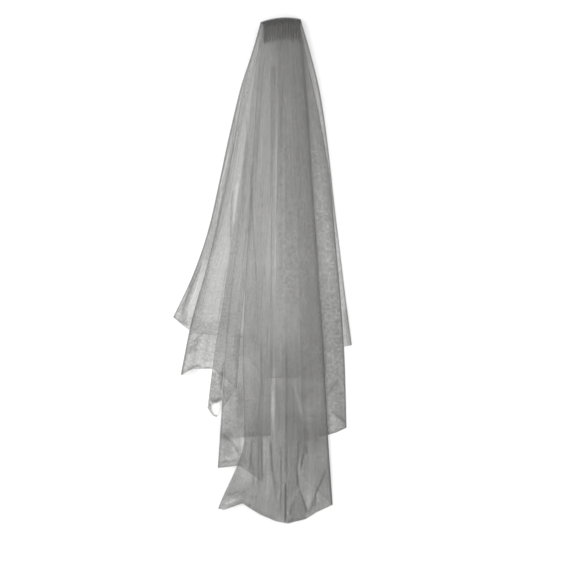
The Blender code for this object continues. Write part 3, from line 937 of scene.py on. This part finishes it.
def hardMaterial(name, finish):
    # a plain finish with a fine grain, for the comb, the tape and the thread
    tree = nodeTree(name)
    place = tree.add("ShaderNodeTexCoord").outputs["Object"]
    grain = tree.noise(place, finish["grainScale"], 3)
    contrast = finish["grain"]
    tree.tint(finish["colour"], tree.math("MULTIPLY_ADD", grain, contrast, 1 - contrast / 2))
    setInputs(tree.shader, Roughness=finish["roughness"])
    tree.bump(grain, 0.4, finish["grainDepth"])
    return tree.material


def sweep(sections):
    # a closed skin over rings of points, with a flat face at each end
    points, faces = [], []
    ring = len(sections[0])
    for section in sections:
        points.extend(section)
    for i in range(len(sections) - 1):
        for j in range(ring):
            k = (j + 1) % ring
            faces.append([i * ring + j, i * ring + k, (i + 1) * ring + k, (i + 1) * ring + j])
    for first, flip in ((0, True), ((len(sections) - 1) * ring, False)):
        end = list(range(first, first + ring))
        faces.append(end[::-1] if flip else end)
    return points, faces


def joined(name, parts, material):
    points, faces = [], []
    for partPoints, partFaces in parts:
        shift = len(points)
        points.extend(partPoints)
        faces.extend([[shift + i for i in face] for face in partFaces])
    piece = makeMesh(name, points, faces)
    work = bmesh.new()
    work.from_mesh(piece.data)
    bmesh.ops.recalc_face_normals(work, faces=work.faces)
    work.to_mesh(piece.data)
    work.free()
    piece.data.materials.append(material)
    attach(piece, "root")
    return piece


def roundedRing(centre, across, halfAcross, halfUp, square, count):
    # an upright section: square is 1 for an oval, and more is squarer
    ring = []
    for k in range(count):
        a = 2 * np.pi * k / count
        c, s = np.cos(a), np.sin(a)
        out = np.sign(c) * abs(c) ** (1 / square) * halfAcross
        rise = np.sign(s) * abs(s) ** (1 / square) * halfUp
        ring.append(tuple(np.array(centre) + np.array(across) * out + (0, 0, rise)))
    return ring


def roundedEnd(t, length, radius, least):
    # how full a bar's section is near its rounded ends
    end = min(t, 1 - t) * length
    return np.sqrt(max(1 - (1 - min(end / radius, 1)) ** 2, least))


sideways, lengthways = (1, 0, 0), (0, 1, 0)


def makeComb(material):
    left = comb["middle"] - comb["width"] / 2
    half = comb["thickness"] / 2
    halfDepth = comb["spineDepth"] / 2
    ends = comb["spineEnds"]
    sections = []
    for t in np.linspace(0, 1, comb["spineRings"]):
        x = left + comb["width"] * t
        taper = roundedEnd(t, comb["width"], half, 0.05)
        centre = (x, topY - clothStart - gatherArc(x) - halfDepth, half)
        size = halfDepth * (ends + (1 - ends) * taper)
        sections.append(roundedRing(
            centre, lengthways, size, half * taper, comb["spineSquare"], comb["spineSides"]
        ))
    parts = [sweep(sections)]
    pitch = comb["width"] / comb["teeth"]
    for i in range(comb["teeth"]):
        middle = left + (i + 0.5) * pitch
        arc = clothStart + gatherArc(middle)
        start = arc + comb["spineDepth"] - comb["toothSeat"]
        end = arc + comb["length"]
        sections = []
        for t in np.linspace(0, 1, comb["toothRings"]):
            past = max((t - 1 + comb["tipShare"]) / comb["tipShare"], 0)
            tip = np.sqrt(max(1 - past**2, 0.02))
            wide = (comb["toothRoot"] * (1 - t) + comb["toothTip"] * t) * pitch * tip
            thick = half * (comb["toothThick"] - comb["toothThin"] * t) * tip
            centre = (middle, topY - start - (end - start) * t,
                      thick + comb["toothLift"] * (1 - t))
            sections.append(roundedRing(
                centre, sideways, wide, thick, comb["toothSquare"], comb["toothSides"]
            ))
        parts.append(sweep(sections))
    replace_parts(joined("hair_comb", parts, material), "comb")


binding = {
    "rings": 81,
    "sides": 28,
    "square": 2.2,
    "endRadius": 2 * mm,
    "endHeight": 0.93,
    "colour": (0.17, 0.17, 0.165),
    "roughness": 0.7,
    "grain": 0.4,
    "grainScale": 2500,
    "grainDepth": 0.1 * mm,
}

stitch = {
    "length": 2.4 * mm,
    "gap": 1.3 * mm,
    "thread": 0.22 * mm,
    "rows": (0.25, 0.5, 0.75),  # of the tape's height
    "from": 3 * mm,  # the tape's ends
    "to": 4 * mm,
    "sunk": 0.6,  # how deep its ends go into the tape, in thread sizes
    "endSize": 0.35,
    "rings": 7,
    "sides": 6,
    "colour": (0.3, 0.3, 0.29),
    "roughness": 0.6,
    "grain": 0.2,
    "grainScale": 4000,
    "grainDepth": 0.05 * mm,
}


def bindingTop(x):
    # the height over the highest net at the gathered edge
    level = shortTier["stretches"][1]["level"] + 1
    return float(layerHeight(level, np.array([x]), np.array([0.0]))[0])


def makeBinding(material):
    # a tape folded over the ends of the gathered net
    left = gather["middle"] - gather["halfWidth"]
    width = 2 * gather["halfWidth"]
    half = bindingDepth / 2
    least = binding["endHeight"]
    sections = []
    for t in np.linspace(0, 1, binding["rings"]):
        x = left + width * t
        taper = roundedEnd(t, width, binding["endRadius"], 0.04)
        top = bindingTop(x) * (least + (1 - least) * taper)
        centre = (x, topY - gatherArc(x) - half, top / 2)
        sections.append(roundedRing(
            centre, lengthways, half * taper, top / 2, binding["square"], binding["sides"]
        ))
    tape = joined("gather_tape", [sweep(sections)], material)
    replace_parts(tape, "gather_binding")


def makeStitches(material):
    # rows of running stitch along the outside of the tape
    start = gather["middle"] - gather["halfWidth"]
    stop = start + 2 * gather["halfWidth"] - stitch["to"]
    least = stitch["endSize"]
    parts = []
    x = start + stitch["from"]
    while x < stop:
        for row in stitch["rows"]:
            height = bindingTop(x) * row
            sections = []
            for t in np.linspace(0, 1, stitch["rings"]):
                px = x + stitch["length"] * t
                rise = np.sin(np.pi * t)
                y = topY - gatherArc(px) + stitch["thread"] * (rise - stitch["sunk"])
                size = stitch["thread"] * (least + (1 - least) * rise)
                sections.append(roundedRing(
                    (px, y, height), lengthways, size, size, 1, stitch["sides"]
                ))
            parts.append(sweep(sections))
        x += stitch["length"] + stitch["gap"]
    joined("tape_stitches", parts, material)


studio = {
    "focal": 135,
    "sensor": 36,
    "frameWidth": 1.0834,  # metres that the picture spans
    "middle": (0.0514, -0.0354),
    "cameraLift": 0.01,
    "seeThrough": 96,  # how many layers of net the light may pass
    "dome": 1.15,
    "lamp": 14,
    "lampSize": (1.6, 1.2),
    "lampPlace": (-1.6, 0.6, 1.3),
    "lampTurn": (0.2, -0.85, 0),
    "floor": (0.92, 0.92, 0.92),
    "floorRoughness": 0.9,
    "floorSide": 4.0,
    "floorDepth": 0.2 * mm,
}


def makeStudio():
    scene = bpy.context.scene
    scene.view_settings.view_transform = "Standard"
    scene.cycles.transparent_max_bounces = studio["seeThrough"]
    world = bpy.data.worlds.new("pale dome")
    world.use_nodes = True
    dome = world.node_tree.nodes["Background"]
    setInputs(dome, Color=(1, 1, 1, 1), Strength=studio["dome"])
    scene.world = world
    finish = nodeTree("pale floor")
    setInputs(finish.shader, Base_Color=(*studio["floor"], 1),
              Roughness=studio["floorRoughness"])
    side, z = studio["floorSide"], -studio["floorDepth"]
    corners = [(-side, -side, z), (side, -side, z), (side, side, z), (-side, side, z)]
    floor = makeMesh("studio_floor", corners, [[0, 1, 2, 3]])
    floor.data.materials.append(finish.material)
    lamp = bpy.data.lights.new("soft lamp", "AREA")
    lamp.shape = "RECTANGLE"
    lamp.size, lamp.size_y = studio["lampSize"]
    lamp.energy = studio["lamp"]
    lampObject = bpy.data.objects.new("soft lamp", lamp)
    lampObject.location = studio["lampPlace"]
    lampObject.rotation_euler = studio["lampTurn"]
    scene.collection.objects.link(lampObject)
    camera = bpy.data.cameras.new("camera")
    camera.lens, camera.sensor_width = studio["focal"], studio["sensor"]
    distance = studio["focal"] / studio["sensor"] * studio["frameWidth"]
    cameraObject = bpy.data.objects.new("camera", camera)
    cameraObject.location = (*studio["middle"], distance + studio["cameraLift"])
    scene.collection.objects.link(cameraObject)
    scene.camera = cameraObject


makeStudio()
print("studio ready")
makeComb(hardMaterial("comb plastic", comb))
makeBinding(hardMaterial("binding tape", binding))
makeStitches(hardMaterial("sewing thread", stitch))
print("comb and binding ready")
netFinish = netMaterial()
longPiece = makeTier(longTier, netFinish)
shortPiece = makeTier(shortTier, netFinish)
print("tiers ready")
